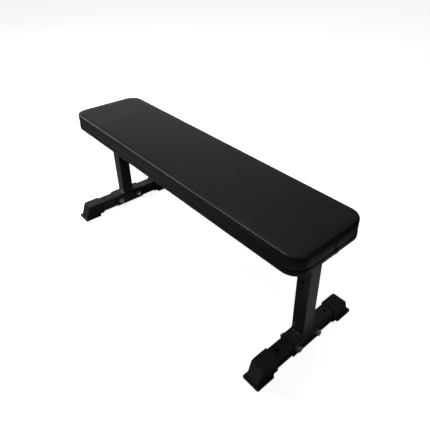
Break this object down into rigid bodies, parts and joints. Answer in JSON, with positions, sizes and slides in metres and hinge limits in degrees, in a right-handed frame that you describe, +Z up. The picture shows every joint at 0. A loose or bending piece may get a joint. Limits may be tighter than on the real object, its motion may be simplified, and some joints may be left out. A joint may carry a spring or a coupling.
{
  "type": "flat weight bench",
  "caption": "Flat weight bench: a long padded vinyl board with rounded corners, on square steel posts with crosswise foot tubes and flared rubber feet.",
  "frame": {"origin": "on the floor, under the middle of the pad", "axes": "+X along the pad, +Y across it, +Z up; the front is the -Y side"},
  "size_m": [1.134, 0.42, 0.44],
  "materials": {
    "vinyl": "black grained upholstery vinyl, satin",
    "foam": "open-cell polyurethane foam, matt",
    "board": "bare plywood",
    "lining": "black non-woven cloth, matt",
    "frame_steel": "black powder coat, satin with a fine orange peel",
    "zinc": "bright zinc plate",
    "cap_rubber": "black moulded rubber, matt",
    "plug_plastic": "black moulded plastic, matt"
  },
  "bodies": {
    "root": {"beam_cradle_left": "frame_steel", "beam_cradle_right": "frame_steel", "beam_plug_left": "plug_plastic", "beam_plug_right": "plug_plastic", "cradle_bolt_left_inner": "zinc", "cradle_bolt_left_outer": "zinc", "cradle_bolt_right_inner": "zinc", "cradle_bolt_right_outer": "zinc", "cradle_nut_left_inner": "zinc", "cradle_nut_left_outer": "zinc", "cradle_nut_right_inner": "zinc", "cradle_nut_right_outer": "zinc", "foot_bolt_left_back": "zinc", "foot_bolt_left_front": "zinc", "foot_bolt_right_back": "zinc", "foot_bolt_right_front": "zinc", "foot_cap_left_back": "cap_rubber", "foot_cap_left_front": "cap_rubber", "foot_cap_right_back": "cap_rubber", "foot_cap_right_front": "cap_rubber", "foot_nut_left_back": "zinc", "foot_nut_left_front": "zinc", "foot_nut_right_back": "zinc", "foot_nut_right_front": "zinc", "foot_saddle_left": "frame_steel", "foot_saddle_right": "frame_steel", "foot_tube_left": "frame_steel", "foot_tube_right": "frame_steel", "foot_washer_left_back_inner": "zinc", "foot_washer_left_back_outer": "zinc", "foot_washer_left_front_inner": "zinc", "foot_washer_left_front_outer": "zinc", "foot_washer_right_back_inner": "zinc", "foot_washer_right_back_outer": "zinc", "foot_washer_right_front_inner": "zinc", "foot_washer_right_front_outer": "zinc", "main_beam": "frame_steel", "pad_board": "board", "pad_bolt_left_back": "zinc", "pad_bolt_left_front": "zinc", "pad_bolt_right_back": "zinc", "pad_bolt_right_front": "zinc", "pad_cover": "vinyl", "pad_foam": "foam", "pad_lining": "lining", "pad_support_left": "frame_steel", "pad_support_right": "frame_steel", "pad_t_nut_left_back": "zinc", "pad_t_nut_left_front": "zinc", "pad_t_nut_right_back": "zinc", "pad_t_nut_right_front": "zinc", "pad_washer_left_back": "zinc", "pad_washer_left_front": "zinc", "pad_washer_right_back": "zinc", "pad_washer_right_front": "zinc", "post_left": "frame_steel", "post_right": "frame_steel"}
  },
  "joints": []
}
